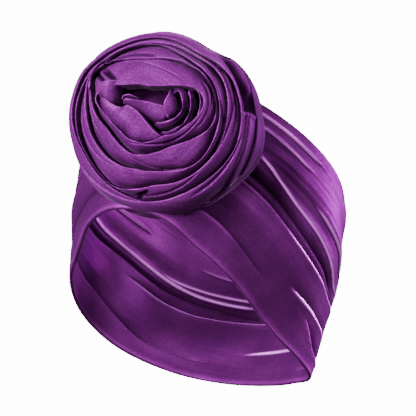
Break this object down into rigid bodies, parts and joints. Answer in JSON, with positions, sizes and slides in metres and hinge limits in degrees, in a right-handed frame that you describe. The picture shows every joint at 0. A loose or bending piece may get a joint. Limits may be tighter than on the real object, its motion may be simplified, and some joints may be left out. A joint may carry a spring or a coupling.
{
  "type": "flower headband",
  "caption": "Wide pleated cloth headband, a closed loop worn tilted on the head, with a rolled cloth rosette on its front",
  "frame": {"origin": "middle of the hollow for the head, on the axis of the band's loop", "axes": "the wearer faces -Y with the wearer's left at +X and up at +Z; the loop's axis leans 45 degrees from +Z towards +Y"},
  "size_m": [0.1792, 0.2167, 0.2411],
  "materials": {
    "band": "smooth purple jersey with a satin sheen",
    "rosette": "smooth purple jersey with a satin sheen"
  },
  "bodies": {
    "root": {"band": "band", "rose_outer_wrap": "rosette", "rose_second_wrap": "rosette", "rose_third_wrap": "rosette", "rose_inner_wrap": "rosette", "rose_heart": "rosette"}
  },
  "joints": []
}
